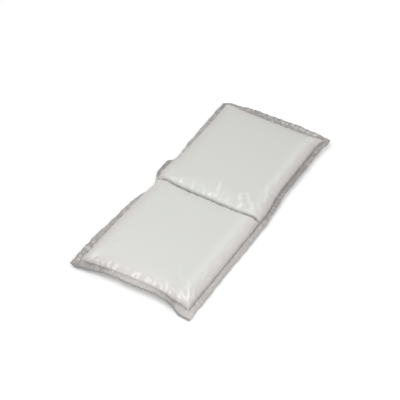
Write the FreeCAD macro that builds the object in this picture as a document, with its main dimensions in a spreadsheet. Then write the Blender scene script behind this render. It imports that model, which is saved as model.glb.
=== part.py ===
"""Two-cell reusable ice pack, lying flat and filled.

Two sheets of film are welded together all round and once across the middle.
The welds leave two crowned cushions of filling, a tight fold between them and
a soft rim outside, which stands up at both ends and hangs or stands beside
the cells. The rim is drawn in to a waist at one end of the fold. Nothing
inside can be seen or taken out, so the filled pack is one solid.

Frame: X runs along the pack, Y across it and Z up. The pack lies on Z = 0 and
the origin is under the middle of its outline. Millimetres throughout.
"""
import FreeCAD, Part
import math
import os
from collections import namedtuple

from FreeCAD import Vector

# Driving dimensions, in millimetres: alias, value, meaning.
SIZES = [
    ("pack_height", 17.4, "floor to the highest part of a cell"),
    ("near_length", 147.5, "weld at the fold to weld at the end, -X cell"),
    ("near_width", 136.8, "weld to weld across the -X cell"),
    ("far_length", 158.6, "weld at the fold to weld at the end, +X cell"),
    ("far_width", 132.8, "weld to weld across the +X cell"),
    ("fold_width", 1.4, "flat weld between the two cells"),
    ("seal_height", 6.5, "floor to the middle of the welded film"),
    ("film_gauge", 0.25, "one sheet of film"),
    ("crown_rise", 2.4, "rise of a cell's top from its shoulders to its middle"),
    ("side_shoulder", 9.6, "run of a cell's wall over a long weld"),
    ("side_round", 8.4, "radius at the top of that wall"),
    ("end_shoulder", 14.0, "run of a cell's wall over an end weld"),
    ("end_round", 13.0, "radius at the top of that wall"),
    ("near_fold_shoulder", 7.2, "run of the -X cell's wall over the fold"),
    ("near_fold_round", 6.8, "radius at the top of that wall"),
    ("far_fold_shoulder", 13.5, "run of the +X cell's wall over the fold"),
    ("far_fold_round", 12.5, "radius at the top of that wall"),
    ("belly_slope", 10.5, "run from a weld down to the flat foot"),
    ("belly_round", 7.5, "radius round the flat foot"),
    ("seal_margin", 0.6, "flat strip of film outside the welds, before the rim bends"),
    ("side_rim", 7.8, "rim outside the long welds of the wider cell"),
    ("near_rim", 12.2, "rim outside the end weld at the -X end's corners"),
    ("near_middle_rim", 7.0, "rim in the middle of that end, where it is drawn in"),
    ("far_rim", 7.7, "rim outside the end weld at the +X end's corners"),
    ("far_middle_rim", 6.7, "rim in the middle of that end"),
    ("near_end_lift", 4.6, "rise of the middle of the rim at the -X end"),
    ("far_end_lift", 7.4, "rise of the middle of the rim at the +X end"),
    ("corner_droop", 2.0, "drop of the rim's two corners at the -X end"),
    ("waist_place", 6.7, "how far towards -X the waist in the +Y rim lies from the fold"),
    ("waist_rim", 1.2, "what is left of the +Y rim at the waist"),
    ("waist_before", 38.0, "length of rim that draws in on the -X side of the waist"),
    ("waist_after", 20.0, "length of rim that spreads again on its +X side"),
    ("waist_droop", 2.0, "drop of the rim at the waist"),
    ("corner_lift", 2.2, "rise of the +Y rim beside the outer corner of the -X cell"),
    ("ear_lift", 2.2, "rise of the short stretch of +Y rim that stands up past the waist"),
    ("ear_length", 30.0, "length of that stretch"),
    ("notch_rim", 5.0, "what is left of the +Y rim just past that stretch"),
    ("left_droop", 4.6, "drop of the +Y rim beside the +X cell"),
    ("right_droop", 3.0, "drop of the -Y rim beside the -X cell"),
    ("right_rim", 4.2, "what is left of the -Y rim beside the +X cell"),
]

# The rim leaves its weld level and bends towards its outer edge: share of its lift in each row.
RIM_BEND = (0.0, 0.0, 0.45, 1.0)
POLE_SPACING = 7.5

doc = FreeCAD.newDocument("reusable_ice_pack")


def make_sheet():
    """Put every driving dimension in a sheet, each cell under its own alias."""
    sizes = doc.addObject("Spreadsheet::Sheet", "Sizes")
    for row, (alias, value, meaning) in enumerate(SIZES, 1):
        sizes.set(f"A{row}", alias)
        sizes.set(f"B{row}", str(value))
        sizes.set(f"C{row}", meaning)
        sizes.setAlias(f"B{row}", alias)
    doc.recompute()
    return sizes


sheet = make_sheet()


def size(alias):
    """The present value of a driving dimension."""
    return float(sheet.get(alias))


# Places that the cells, the flat film and the rim share. The outline's middle is at X = 0.
SEAL = size("seal_height")
HALF_LENGTH = (size("near_rim") + size("near_length") + size("fold_width") + size("far_length")
               + size("far_rim")) / 2
NEAR_SEAL = size("near_rim") - HALF_LENGTH
FOLD_NEAR = NEAR_SEAL + size("near_length")
FOLD_FAR = FOLD_NEAR + size("fold_width")
FAR_SEAL = FOLD_FAR + size("far_length")
NEAR_FLAT = NEAR_SEAL - size("seal_margin")
FAR_FLAT = FAR_SEAL + size("seal_margin")
WIDER = max(size("near_width"), size("far_width")) / 2
SIDE_FLAT = WIDER + size("seal_margin")
HALF_WIDTH = WIDER + size("side_rim")

# A cell's wall in section, as (run, rise) from its weld: straight up to its bend, then an
# arc over its middle to its level end. The arc's two tangents meet at its apex.
Wall = namedtuple("Wall", "bend middle level apex weight")


def wall_section(run, rise, radius):
    """The section of a wall that leans in from its weld and rounds over until it is level."""
    reach = math.hypot(run, rise - radius)
    lean = math.atan2(rise - radius, run) + math.asin(radius / reach)
    straight = math.sqrt(reach ** 2 - radius ** 2)
    bend = (straight * math.cos(lean), straight * math.sin(lean))
    middle = (run - radius * math.sin(lean / 2), rise - radius * (1 - math.cos(lean / 2)))
    apex = (run - radius * math.tan(lean / 2), rise)
    return Wall(bend, middle, (run, rise), apex, math.cos(lean / 2))


def quadratic_face(span_x, span_y, height_at):
    """A face over two spans of (place, rise, weight), its poles' heights set by both rises."""
    poles = [[Vector(x, y, height_at(rise_x, rise_y)) for y, rise_y, _ in span_y]
             for x, rise_x, _ in span_x]
    weights = [[weight_x * weight_y for _, _, weight_y in span_y] for _, _, weight_x in span_x]
    ends = [3, 3]
    surface = Part.BSplineSurface()
    surface.buildFromPolesMultsKnots(poles, ends, ends, [0, 1], [0, 1], False, False, 2, 2, weights)
    return surface.toShape()


def wall_spans(wall, weld, inward):
    """A wall's straight part and its arc, each as a quadratic span of (place, rise, weight)."""
    half_way = (wall.bend[0] / 2, wall.bend[1] / 2)
    straight = (((0, 0), 1), (half_way, 1), (wall.bend, 1))
    curved = ((wall.bend, 1), (wall.apex, wall.weight), (wall.level, 1))
    return [[(weld + inward * run, rise, weight) for (run, rise), weight in span]
            for span in (straight, curved)]


def wall_faces(wall, point_at, sweep):
    """The flat face and the rounded face of a wall, swept along its weld."""
    places = ((0, 0), wall.bend, wall.middle, wall.level)
    weld, bend, middle, level = [point_at(run, rise) for run, rise in places]
    straight = Part.LineSegment(weld, bend).toShape()
    curved = Part.Arc(bend, middle, level).toShape()
    return [straight.extrude(sweep), curved.extrude(sweep)]


def cushion_half(way, rise, welds, half_width, low_wall, high_wall, side_wall):
    """The walls and corners of a cell above (way 1) or below (way -1) its welds.

    The cell lies between two welds across the pack, each with its own wall. Where two walls
    meet, each fades the other out, so that a corner is pinched down to its weld as it is in
    a filled pouch. Returns the faces and the level rectangle they leave.
    """
    level = SEAL + way * rise
    low = Vector(welds[0] + low_wall.level[0], -half_width + side_wall.level[0], level)
    high = Vector(welds[1] - high_wall.level[0], half_width - side_wall.level[0], level)
    across = ((low_wall, welds[0], 1), (high_wall, welds[1], -1))
    along = ((side_wall, -half_width, 1), (side_wall, half_width, -1))
    faces = []
    for wall, weld, inward in across:
        def section_across(run, up):
            return Vector(weld + inward * run, low.y, SEAL + way * up)
        faces += wall_faces(wall, section_across, Vector(0, high.y - low.y, 0))
    for wall, weld, inward in along:
        def section_along(run, up):
            return Vector(low.x, weld + inward * run, SEAL + way * up)
        faces += wall_faces(wall, section_along, Vector(high.x - low.x, 0, 0))
    spans_x = [span for place in across for span in wall_spans(*place)]
    spans_y = [span for place in along for span in wall_spans(*place)]
    for span_x in spans_x:
        for span_y in spans_y:
            faces.append(quadratic_face(span_x, span_y, lambda a, b: SEAL + way * a * b / rise))
    return faces, low, high


def crown_face(low, high):
    """The top of a cell inside its shoulders, a shallow dome that is level round its edge."""
    # A parabola peaks at half the height of its middle pole.
    span_x = [(low.x, 0, 1), ((low.x + high.x) / 2, 2, 1), (high.x, 0, 1)]
    span_y = [(low.y, 0, 1), ((low.y + high.y) / 2, 2, 1), (high.y, 0, 1)]
    return quadratic_face(span_x, span_y, lambda a, b: low.z + size("crown_rise") * a * b)


def solid_from(faces):
    """Sew faces into one closed solid that faces outwards."""
    shell = Part.makeShell(faces)
    shell.sewShape()
    solid = Part.makeSolid(shell)
    if solid.Volume < 0:
        solid.reverse()
    return solid


def make_cell(welds, half_width, low_name, high_name):
    """A filled cell between two welds across the pack, crowned above and with a flat foot below."""
    rise = size("pack_height") - size("crown_rise") - SEAL
    low_wall, high_wall, side_wall = [
        wall_section(size(f"{name}_shoulder"), rise, size(f"{name}_round"))
        for name in (low_name, high_name, "side")]
    above, low, high = cushion_half(1, rise, welds, half_width, low_wall, high_wall, side_wall)
    above.append(crown_face(low, high))
    belly = wall_section(size("belly_slope"), SEAL, size("belly_round"))
    below, low, high = cushion_half(-1, SEAL, welds, half_width, belly, belly, belly)
    below.append(Part.makePlane(high.x - low.x, high.y - low.y, low))
    return solid_from(above + below)


# The waist lies a little towards -X from the fold. The ear starts where the waist ends.
WAIST = (FOLD_NEAR + FOLD_FAR) / 2 - size("waist_place")
EAR_START = WAIST + size("waist_after") / 2
EAR_END = EAR_START + size("ear_length")


def swell(place, start, full, fade, end):
    """A smooth rise from nothing at start to one at full, held to fade and gone at end."""
    if place < full:
        share = (place - start) / (full - start)
    elif place > fade:
        share = (end - place) / (end - fade)
    else:
        share = 1.0
    return math.sin(max(share, 0.0) * math.pi / 2) ** 2


def side_lift(x, side):
    """How far the outer edge of a long rim stands above its weld; side is 1 at +Y, -1 at -Y."""
    if side < 0:
        near_half = NEAR_FLAT / 2
        return -size("right_droop") * swell(x, 2 * NEAR_FLAT, NEAR_FLAT, near_half, FOLD_FAR)
    near_part = (NEAR_FLAT - WAIST) / 4
    return (size("corner_lift") * swell(x, 2 * NEAR_FLAT, NEAR_FLAT - near_part, NEAR_FLAT - near_part,
                                        NEAR_FLAT - 3 * near_part)
            - size("waist_droop") * swell(x, WAIST + 2 * near_part, WAIST, WAIST, EAR_START)
            + size("ear_lift") * swell(x, WAIST, EAR_START + 8, EAR_END - 6, EAR_END + 8)
            - size("left_droop") * swell(x, EAR_END - 6, EAR_END + 12, FAR_FLAT / 2, FAR_FLAT + 8))


def end_lift(y, end):
    """How far the outer edge of an end rim stands above its weld; end is 1 at +X, -1 at -X."""
    half = SIDE_FLAT
    if end > 0:
        return size("far_end_lift") * swell(y, -1.25 * half, -half / 2, 0, 1.1 * half)
    middle = swell(y, -0.95 * half, -half / 2, half / 2, 0.95 * half)
    return size("near_end_lift") * middle - size("corner_droop") * (1 - middle)


def side_reach(x, side):
    """How far from the pack's centre line the outer edge of a long rim lies."""
    rim = size("side_rim")
    if side < 0:
        beside = swell(x, FOLD_FAR + 8, FOLD_FAR + 52, FAR_FLAT - 12, FAR_FLAT + 12)
        return HALF_WIDTH - (rim - size("right_rim")) * beside
    waist = swell(x, WAIST - size("waist_before"), WAIST, WAIST, WAIST + size("waist_after"))
    notch = swell(x, EAR_END - 6, EAR_END + 12, EAR_END + 12, EAR_END + 50)
    return HALF_WIDTH - (rim - size("waist_rim")) * waist - (rim - size("notch_rim")) * notch


def end_reach(y, end):
    """How far from the middle of the pack the outer edge of an end rim lies."""
    rim, middle = ("far_rim", "far_middle_rim") if end > 0 else ("near_rim", "near_middle_rim")
    share = swell(y, -SIDE_FLAT, -SIDE_FLAT / 2, SIDE_FLAT / 2, SIDE_FLAT)
    return HALF_LENGTH - (size(rim) - size(middle)) * share


def clamped(count):
    """Knots and multiplicities of an open cubic with the given number of poles."""
    breaks = count - 3
    return [float(knot) for knot in range(breaks + 1)], [4] + [1] * (breaks - 1) + [4]


def cubic_surface(poles):
    """A cubic surface that ends on its outermost poles."""
    u_knots, u_counts = clamped(len(poles))
    v_knots, v_counts = clamped(len(poles[0]))
    surface = Part.BSplineSurface()
    surface.buildFromPolesMultsKnots(poles, u_counts, v_counts, u_knots, v_knots, False, False, 3, 3)
    return surface


def poles_between(low, high):
    """Places for the poles along a stretch of rim, close enough for its bends."""
    count = round((high - low) / POLE_SPACING)
    return [low + (high - low) * step / count for step in range(count + 1)]


def flat_end(end):
    """Where the flat film stops at an end of the pack; end is 1 at +X, -1 at -X."""
    return FAR_FLAT if end > 0 else NEAR_FLAT


def steepness(row, lift, out):
    """Slope of the rim in one of its rows."""
    last = len(RIM_BEND) - 1
    before, after = max(row - 1, 0), min(row + 1, last)
    return lift * (RIM_BEND[after] - RIM_BEND[before]) / (out * (after - before) / last)


def rim_pole(x, y, end, row_x, side, row_y, offset):
    """A pole of one film of the rim, so many rows out from the flat strip along each weld."""
    last = len(RIM_BEND) - 1
    out_x = end_reach(y, end) - abs(flat_end(end))
    out_y = side_reach(x, side) - SIDE_FLAT
    lift_x, lift_y = end_lift(y, end), side_lift(x, side)
    middle = Vector(x + end * out_x * row_x / last, y + side * out_y * row_y / last,
                    SEAL + RIM_BEND[row_x] * lift_x + RIM_BEND[row_y] * lift_y)
    # Each film lies its own thickness off the middle, square to the slope of the rim.
    slope_x = steepness(row_x, lift_x, out_x) if row_x else 0.0
    slope_y = steepness(row_y, lift_y, out_y) if row_y else 0.0
    square = Vector(-end * slope_x, -side * slope_y, 1)
    return middle + square * (offset / square.Length)


def side_strip(side, offset):
    """One film of a long rim, between its two corners."""
    return cubic_surface([[rim_pole(x, side * SIDE_FLAT, 1, 0, side, row, offset)
                           for row in range(len(RIM_BEND))] for x in poles_between(NEAR_FLAT, FAR_FLAT)])


def end_strip(end, offset):
    """One film of an end rim, between its two corners."""
    return cubic_surface([[rim_pole(flat_end(end), y, end, row, 1, 0, offset)
                           for y in poles_between(-SIDE_FLAT, SIDE_FLAT)] for row in range(len(RIM_BEND))])


def corner_patch(end, side, offset):
    """One film of a corner of the rim."""
    return cubic_surface([[rim_pole(flat_end(end), side * SIDE_FLAT, end, row_x, side, row_y, offset)
                           for row_y in range(len(RIM_BEND))] for row_x in range(len(RIM_BEND))])


def make_rim():
    """Both films of the rim, closed along their outer edge and against the flat film inside."""
    gauge = size("film_gauge")
    faces, borders = [], []
    for offset in (gauge, -gauge):
        edges = []
        for side in (1, -1):
            strip = side_strip(side, offset)
            faces.append(strip.toShape())
            edges += [strip.vIso(strip.bounds()[2]), strip.vIso(strip.bounds()[3])]
        for end in (1, -1):
            strip = end_strip(end, offset)
            faces.append(strip.toShape())
            edges += [strip.uIso(strip.bounds()[0]), strip.uIso(strip.bounds()[1])]
        for end in (1, -1):
            for side in (1, -1):
                patch = corner_patch(end, side, offset)
                faces.append(patch.toShape())
                edges += [patch.uIso(patch.bounds()[1]), patch.vIso(patch.bounds()[3])]
        borders.append([edge.toShape() for edge in edges])
    for above, below in zip(*borders):
        faces.append(Part.makeRuledSurface(above, below))
    return solid_from(faces)


def add_shape(name, shape):
    """A document object that holds a finished shape."""
    item = doc.addObject("Part::Feature", name)
    item.Shape = shape
    return item


def add_flat_film():
    """The flat part of both films: the fold's weld, and a strip just outside the other welds."""
    plate = doc.addObject("Part::Box", "flat_film")
    plate.setExpression("Length", "Sizes.near_length + Sizes.fold_width + Sizes.far_length"
                                  " + 2 * Sizes.seal_margin")
    plate.setExpression("Width", "max(Sizes.near_width; Sizes.far_width) + 2 * Sizes.seal_margin")
    plate.setExpression("Height", "2 * Sizes.film_gauge")
    plate.setExpression("Placement.Base.x", "(Sizes.near_rim - Sizes.far_rim - Sizes.near_length"
                                            " - Sizes.fold_width - Sizes.far_length) / 2"
                                            " - Sizes.seal_margin")
    plate.setExpression("Placement.Base.y", "-Width / 2")
    plate.setExpression("Placement.Base.z", "Sizes.seal_height - Sizes.film_gauge")
    return plate


def add_pack():
    """The whole pack: its two cells, the flat film and the rim, fused."""
    near_cell = make_cell((NEAR_SEAL, FOLD_NEAR), size("near_width") / 2, "end", "near_fold")
    far_cell = make_cell((FOLD_FAR, FAR_SEAL), size("far_width") / 2, "far_fold", "end")
    whole = doc.addObject("Part::MultiFuse", "whole_pack")
    whole.Shapes = [add_shape("near_cell", near_cell), add_shape("far_cell", far_cell),
                    add_flat_film(), add_shape("rim", make_rim())]
    whole.Label = "ice_pack"
    return whole


pack = add_pack()
doc.recompute()

for item in doc.Objects:
    if "Invalid" in item.State or "Error" in item.State:
        raise RuntimeError(f"{item.Label} did not compute: {item.State}")
if pack.Shape.isNull() or not pack.Shape.isValid() or len(pack.Shape.Solids) != 1:
    raise RuntimeError(f"{pack.Label} is not one valid solid")

os.makedirs("parts", exist_ok=True)
pack.Shape.exportStep(f"parts/{pack.Label}.step")
box = pack.Shape.optimalBoundingBox()
print(f"{pack.Label}: {box.XLength:.1f} x {box.YLength:.1f} x {box.ZLength:.1f} mm, "
      f"{pack.Shape.Volume / 1000:.0f} ml")
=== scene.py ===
"""Looks of a two-cell reusable ice pack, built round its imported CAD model.

The pack is a pouch of two sheets of white film, welded all round and once across
the middle. The filling crowns both cells and gathers the film in small puckers
along the welds, and the welded rim outside is grey, frosted and rippled. Lengths
are in metres: X runs along the pack, Y across it and Z up from the floor.
"""
from __future__ import annotations

import logging
import math
from dataclasses import dataclass, field
from enum import Enum

import bpy
import numpy as np
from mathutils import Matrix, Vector, noise


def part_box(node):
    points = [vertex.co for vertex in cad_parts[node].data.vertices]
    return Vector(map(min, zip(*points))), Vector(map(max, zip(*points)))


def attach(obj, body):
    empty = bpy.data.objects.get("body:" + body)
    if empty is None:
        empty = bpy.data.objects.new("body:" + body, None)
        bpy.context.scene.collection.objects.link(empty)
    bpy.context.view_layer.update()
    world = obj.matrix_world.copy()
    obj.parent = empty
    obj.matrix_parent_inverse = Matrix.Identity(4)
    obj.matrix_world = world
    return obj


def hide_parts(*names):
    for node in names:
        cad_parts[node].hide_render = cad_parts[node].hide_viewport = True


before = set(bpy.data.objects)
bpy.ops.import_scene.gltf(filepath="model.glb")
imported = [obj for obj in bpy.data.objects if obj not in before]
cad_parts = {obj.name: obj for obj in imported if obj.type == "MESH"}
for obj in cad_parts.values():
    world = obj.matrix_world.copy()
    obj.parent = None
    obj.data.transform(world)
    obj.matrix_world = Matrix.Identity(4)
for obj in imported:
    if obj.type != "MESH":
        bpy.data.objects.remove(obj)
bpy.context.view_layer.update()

logging.basicConfig(level=logging.INFO, format="%(message)s")
log = logging.getLogger("ice_pack")

# Short names of types that come up often.
Array = np.ndarray
Colour = tuple[float, float, float]
Mesh = bpy.types.Mesh
Tree = bpy.types.NodeTree
Socket = bpy.types.NodeSocket

MM = 0.001
NODE = "ice_pack"
BODY = "root"
TRIAL_POINTS = 4001  # Points of the trial section that gives a cell's length of film.
CROWN_POWER = 1.2  # Above 1, so that a cell's crown starts level at its welds.


class Sheet(Enum):
    """The two sheets of film, by the way that each one bulges."""

    UPPER = 1
    LOWER = -1


class Side(Enum):
    """A long or short side of the pack, by the sign of its axis."""

    PLUS = 1
    MINUS = -1


def put(name: str, data: bpy.types.ID) -> bpy.types.Object:
    """Put an object in the scene.

    Args:
        name: Name of the object.
        data: Its mesh, lamp or camera.

    Returns:
        The object.
    """
    made = bpy.data.objects.new(name, data)
    bpy.context.collection.objects.link(made)
    return made


def with_modifiers(piece: bpy.types.Object) -> Mesh:
    """A plain mesh of an object as its modifiers make it."""
    shown = piece.evaluated_get(bpy.context.evaluated_depsgraph_get())
    return bpy.data.meshes.new_from_object(shown)


def smooth_course(places: Array, knots: list[float], values: list[float]) -> Array:
    """Run a smooth course through chosen points, without overshooting them.

    Args:
        places: Where the course is wanted.
        knots: Places of the chosen points, in rising order.
        values: Values at the chosen points.

    Returns:
        The course's value at each place.
    """
    x, y = np.array(knots), np.array(values)
    gap = np.diff(x)
    steep = np.diff(y) / gap
    slope = np.zeros(len(x))
    same_way = steep[:-1] * steep[1:] > 0
    mean = 2 * steep[:-1] * steep[1:] / np.where(same_way, steep[:-1] + steep[1:], 1)
    slope[1:-1] = np.where(same_way, mean, 0)
    inside = np.clip(places, x[0], x[-1])
    i = np.clip(np.searchsorted(x, inside) - 1, 0, len(gap) - 1)
    t = (inside - x[i]) / gap[i]
    ahead = t * t * (3 - 2 * t)
    pull = gap[i] * (t * (1 - t) ** 2 * slope[i] - t * t * (1 - t) * slope[i + 1])
    return y[i] + (y[i + 1] - y[i]) * ahead + pull


@dataclass(frozen=True)
class Station:
    """One place along a side of the pouch, with its heights over the floor, in millimetres.

    Attributes:
        along: Place along the side, on the axis that the side follows.
        weld, weld_height: How far from the middle the filling ends, and how high.
        edge, edge_height: How far from the middle the film is cut, and how high.
        tone: How grey the rim looks there, from 0, as white as the cells, to 1, partly
        its own grey and partly painted shade where it stands raised over its shadow or lies in
        the shade of a bulging wall.
    """

    along: float
    weld: float
    weld_height: float
    edge: float
    edge_height: float
    tone: float


# The rims' greyness in these tables is partly the film's own grey and partly painted shade, darkest
# where a rim stands raised over its shadow or lies in the shade of a bulging wall.
LEFT_SIDE = (
    Station(-155, 73.0, 5.0, 77.6, 6.4, 0.75),
    Station(-148, 70.6, 5.6, 77.6, 8.4, 0.8),
    Station(-138, 69.2, 6.2, 76.8, 8.8, 0.85),
    Station(-110, 69.0, 7.0, 76.5, 8.2, 0.85),
    Station(-80, 68.6, 7.0, 75.7, 6.4, 0.85),
    Station(-50, 68.0, 6.5, 74.6, 5.4, 0.85),
    Station(-24, 67.2, 6.0, 70.2, 4.6, 0.7),
    Station(-9, 66.0, 6.0, 68.4, 4.4, 0.3),
    Station(-1, 68.4, 6.0, 71.8, 6.4, 0.6),
    Station(8, 71.0, 6.4, 75.0, 8.6, 0.95),
    Station(28, 69.4, 6.8, 75.0, 8.4, 1.0),
    Station(36, 67.2, 6.2, 73.4, 4.6, 0.95),
    Station(44, 66.4, 6.0, 72.8, 1.6, 0.85),
    Station(80, 66.4, 6.0, 75.2, 1.6, 0.8),
    Station(115, 66.6, 6.0, 75.6, 2.6, 0.8),
    Station(140, 67.6, 6.0, 75.6, 4.4, 0.85),
    Station(155, 69.4, 6.0, 75.0, 6.2, 0.9),
)
RIGHT_SIDE = (
    Station(-155, 68.4, 4.0, 75.6, 3.6, 0.3),
    Station(-135, 69.2, 5.4, 75.2, 3.2, 0.5),
    Station(-80, 69.4, 5.6, 75.2, 2.8, 0.5),
    Station(-40, 69.6, 5.6, 75.6, 3.4, 0.55),
    Station(-10, 69.8, 5.4, 76.0, 4.0, 0.65),
    Station(10, 70.4, 5.4, 75.8, 4.4, 0.8),
    Station(24, 69.2, 5.6, 74.6, 5.2, 0.95),
    Station(40, 67.2, 6.4, 73.2, 6.2, 1.0),
    Station(60, 66.0, 6.6, 72.2, 6.6, 1.0),
    Station(110, 65.6, 6.6, 72.4, 6.8, 1.0),
    Station(140, 66.0, 6.6, 72.6, 6.4, 1.0),
    Station(155, 68.8, 7.0, 74.6, 6.4, 0.9),
)
NEAR_END = (
    Station(-68, 153.4, 5.0, 163.2, 4.4, 0.3),
    Station(-59, 152.4, 6.0, 162.4, 5.0, 0.45),
    Station(-48, 151.8, 6.8, 158.8, 9.4, 0.7),
    Station(-28, 149.4, 8.2, 157.8, 11.2, 0.45),
    Station(0, 150.4, 8.6, 159.2, 10.8, 0.3),
    Station(28, 151.8, 8.0, 159.8, 10.2, 0.5),
    Station(46, 153.2, 7.0, 161.6, 7.6, 0.9),
    Station(68, 155.0, 5.0, 164.4, 4.4, 1.0),
)
FAR_END = (
    Station(-68, 158.6, 8.0, 163.2, 8.2, 0.9),
    Station(-54, 157.2, 8.4, 162.8, 11.6, 0.85),
    Station(-30, 155.6, 8.8, 162.8, 13.0, 0.9),
    Station(-14, 155.6, 8.8, 162.4, 12.4, 0.95),
    Station(12, 155.4, 8.8, 162.4, 12.2, 0.95),
    Station(34, 155.6, 8.4, 162.4, 11.4, 0.9),
    Station(52, 156.4, 7.6, 161.8, 8.6, 0.8),
    Station(62, 157.2, 6.8, 162.4, 7.2, 0.85),
    Station(68, 158.0, 6.0, 161.4, 6.0, 0.9),
)


@dataclass(frozen=True)
class Seam:
    """A weld round the pack, with the rim outside it.

    Attributes:
        stations: Its stations, in order.
        side: The sign of its side.
        axis: The axis that it lies across, 0 for the ends and 1 for the long sides.
        fade: How grey the film is just inside the weld, partly for the thin filling there and
            partly
        painted shade at the foot of the wall.
    """

    stations: tuple[Station, ...]
    side: Side
    axis: int
    fade: float

    def course(self, name: str, places: Array, unit: float = MM) -> Array:
        """Run a smooth course through one value of the stations."""
        values = [getattr(station, name) * unit for station in self.stations]
        return smooth_course(places, [station.along * MM for station in self.stations], values)

    def inwards(self, values: Array) -> Array:
        """Lay values of the lines beside the seam out over the grid."""
        return values[None, :] if self.axis else values[:, None]

    def onwards(self, values: Array) -> Array:
        """Lay values of the lines across the seam out over the grid."""
        return values[:, None] if self.axis else values[None, :]


SEAMS = (
    Seam(LEFT_SIDE, Side.PLUS, 1, fade=0.65),
    Seam(RIGHT_SIDE, Side.MINUS, 1, fade=0.4),
    Seam(FAR_END, Side.PLUS, 0, fade=0.35),
    Seam(NEAR_END, Side.MINUS, 0, fade=0.45),
)


@dataclass(frozen=True)
class Wrinkle:
    """A ridge that the upper film gathers into, in millimetres and degrees.

    Attributes:
        x, y: Place of its middle.
        width: Half the width of its crest.
        turn: Direction of its length, from X towards Y.
        height: Height of its crest over the film round it.
        hollow: Depth of the hollows along its feet, as a share of the height.
        hollow_width: Width of the hollows, as a multiple of the crest's.
    """

    x: float
    y: float
    length: float
    width: float
    turn: float
    height: float
    hollow: float = 0.35
    hollow_width: float = 2.2

    def rise(self, points: Array) -> Array:
        """Measure how far the wrinkle lifts the film.

        Args:
            points: Points of the film.

        Returns:
            The lift at each point, which is below 0 in the hollows.
        """
        turn = math.radians(self.turn)
        x, y = points[..., 0] / MM - self.x, points[..., 1] / MM - self.y
        along = (x * math.cos(turn) + y * math.sin(turn)) / (self.length / 2)
        beside = (y * math.cos(turn) - x * math.sin(turn)) / self.width
        crest = np.exp(-beside ** 2) - self.hollow * np.exp(-(beside / self.hollow_width) ** 2)
        return self.height * MM * np.clip(1 - along ** 2, 0, 1) * crest


WRINKLES = (
    # Over the fold, on the far cell.
    Wrinkle(15, -5, 24, 2.8, 17, 1.0),
    Wrinkle(4, -2, 17, 2.2, -83, 0.8),
    Wrinkle(13, -35, 19, 3.4, 30, 1.1),
    Wrinkle(16, -44, 20, 2.8, 33, 1.0),
    Wrinkle(22, -36, 12, 2.4, -58, 0.6),
    Wrinkle(10, -52, 17, 2.2, 26, 0.9),
    Wrinkle(11, -62, 16, 1.9, 40, 0.7),
    Wrinkle(4, -24, 11, 2.2, 17, 0.6),
    Wrinkle(4, 9, 13, 2.2, 24, 0.6),
    Wrinkle(5, 24, 14, 2.4, 14, 0.5),
    Wrinkle(5, 41, 12, 2.2, 20, 0.5),
    Wrinkle(6, 60, 8, 1.7, 20, 0.8),
    Wrinkle(10, 56, 7, 1.6, 25, 0.7),
    # Along the far cell's right side.
    Wrinkle(40, -55, 27, 2.2, 27, 0.6),
    Wrinkle(66, -55, 24, 2.2, 17, 0.5),
    Wrinkle(27, -60, 18, 2.0, 6, 0.6),
    Wrinkle(98, -56, 18, 2.2, 10, 0.4),
    Wrinkle(145, -58, 10, 1.6, -5, 0.6),
    # Along the near cell's right side.
    Wrinkle(-30, -62, 16, 2.4, 8, 0.3),
    Wrinkle(-57, -63, 24, 2.2, 4, 0.4),
    Wrinkle(-84, -63, 18, 2.4, -6, 0.35),
    Wrinkle(-108, -61, 20, 2.2, 9, 0.45),
    # Fanning out from the near right corner.
    Wrinkle(-139, -60, 17, 1.8, 40, 1.2),
    Wrinkle(-143, -54, 16, 1.8, 57, 1.1),
    Wrinkle(-138, -65, 15, 1.6, 28, 1.0),
    Wrinkle(-144, -45, 20, 2.0, 68, 0.8),
    Wrinkle(-128, -53, 14, 2.2, 50, 0.5),
    # Along the foot of the near end's wall.
    Wrinkle(-140, -32, 12, 2.4, 30, 0.6),
    Wrinkle(-143, -24, 9, 2.2, -75, 0.5),
    Wrinkle(-143, -11, 10, 2.0, 80, 0.5),
    Wrinkle(-143, 3, 9, 2.2, -80, 0.5),
    Wrinkle(-144, 16, 10, 2.0, 78, 0.5),
    Wrinkle(-144, 28, 8, 2.0, -75, 0.4),
)


@dataclass(frozen=True)
class Shoulder:
    """Section of a cell's wall, which starts upright at its weld and ends level.

    Attributes:
        run: Distance in from the weld to where the wall is level.
        rise: Height of the level end over the weld.
        steep_run: Distance in from the weld to the end of the wall's steep part.
        steep_share: Share of the rise that the steep part takes.
    """

    run: float
    rise: float
    steep_run: float = 4 * MM
    steep_share: float = 0.0

    def share(self, inward: Array) -> Array:
        """Share of the rise at distances in from the weld."""
        steep, gentle = [np.sqrt(1 - np.clip(1 - inward / run, 0, 1) ** 2)
                         for run in (self.steep_run, self.run)]
        return self.steep_share * steep + (1 - self.steep_share) * gentle


@dataclass
class Lines:
    """The lines of a film grid in one direction, from one cut edge to the other.

    Attributes:
        place: Where each line lies inside the welds; lines of the rim stay at their weld.
        share: How far each line stands up its cell's walls, from 0 to 1.
        crown: How far each line is up its cell's crown, from 0 to 1.
        rim: How far out in the rim each line is, from 0 at the weld to 1 at the edge.
        side: The sign of the side whose rim each line is in, or 0.
    """

    place: Array
    share: Array
    crown: Array
    rim: Array
    side: Array

    def __len__(self) -> int:
        """Number of lines."""
        return len(self.place)


def join_lines(parts: list[Lines]) -> Lines:
    """Join stretches of lines that share their end lines.

    Args:
        parts: The stretches, in order.

    Returns:
        One stretch, with each shared line kept once.
    """
    joined = []
    for name in ("place", "share", "crown", "rim", "side"):
        arrays = [getattr(part, name) for part in parts]
        joined.append(np.concatenate([arrays[0]] + [array[1:] for array in arrays[1:]]))
    return Lines(*joined)


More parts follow.
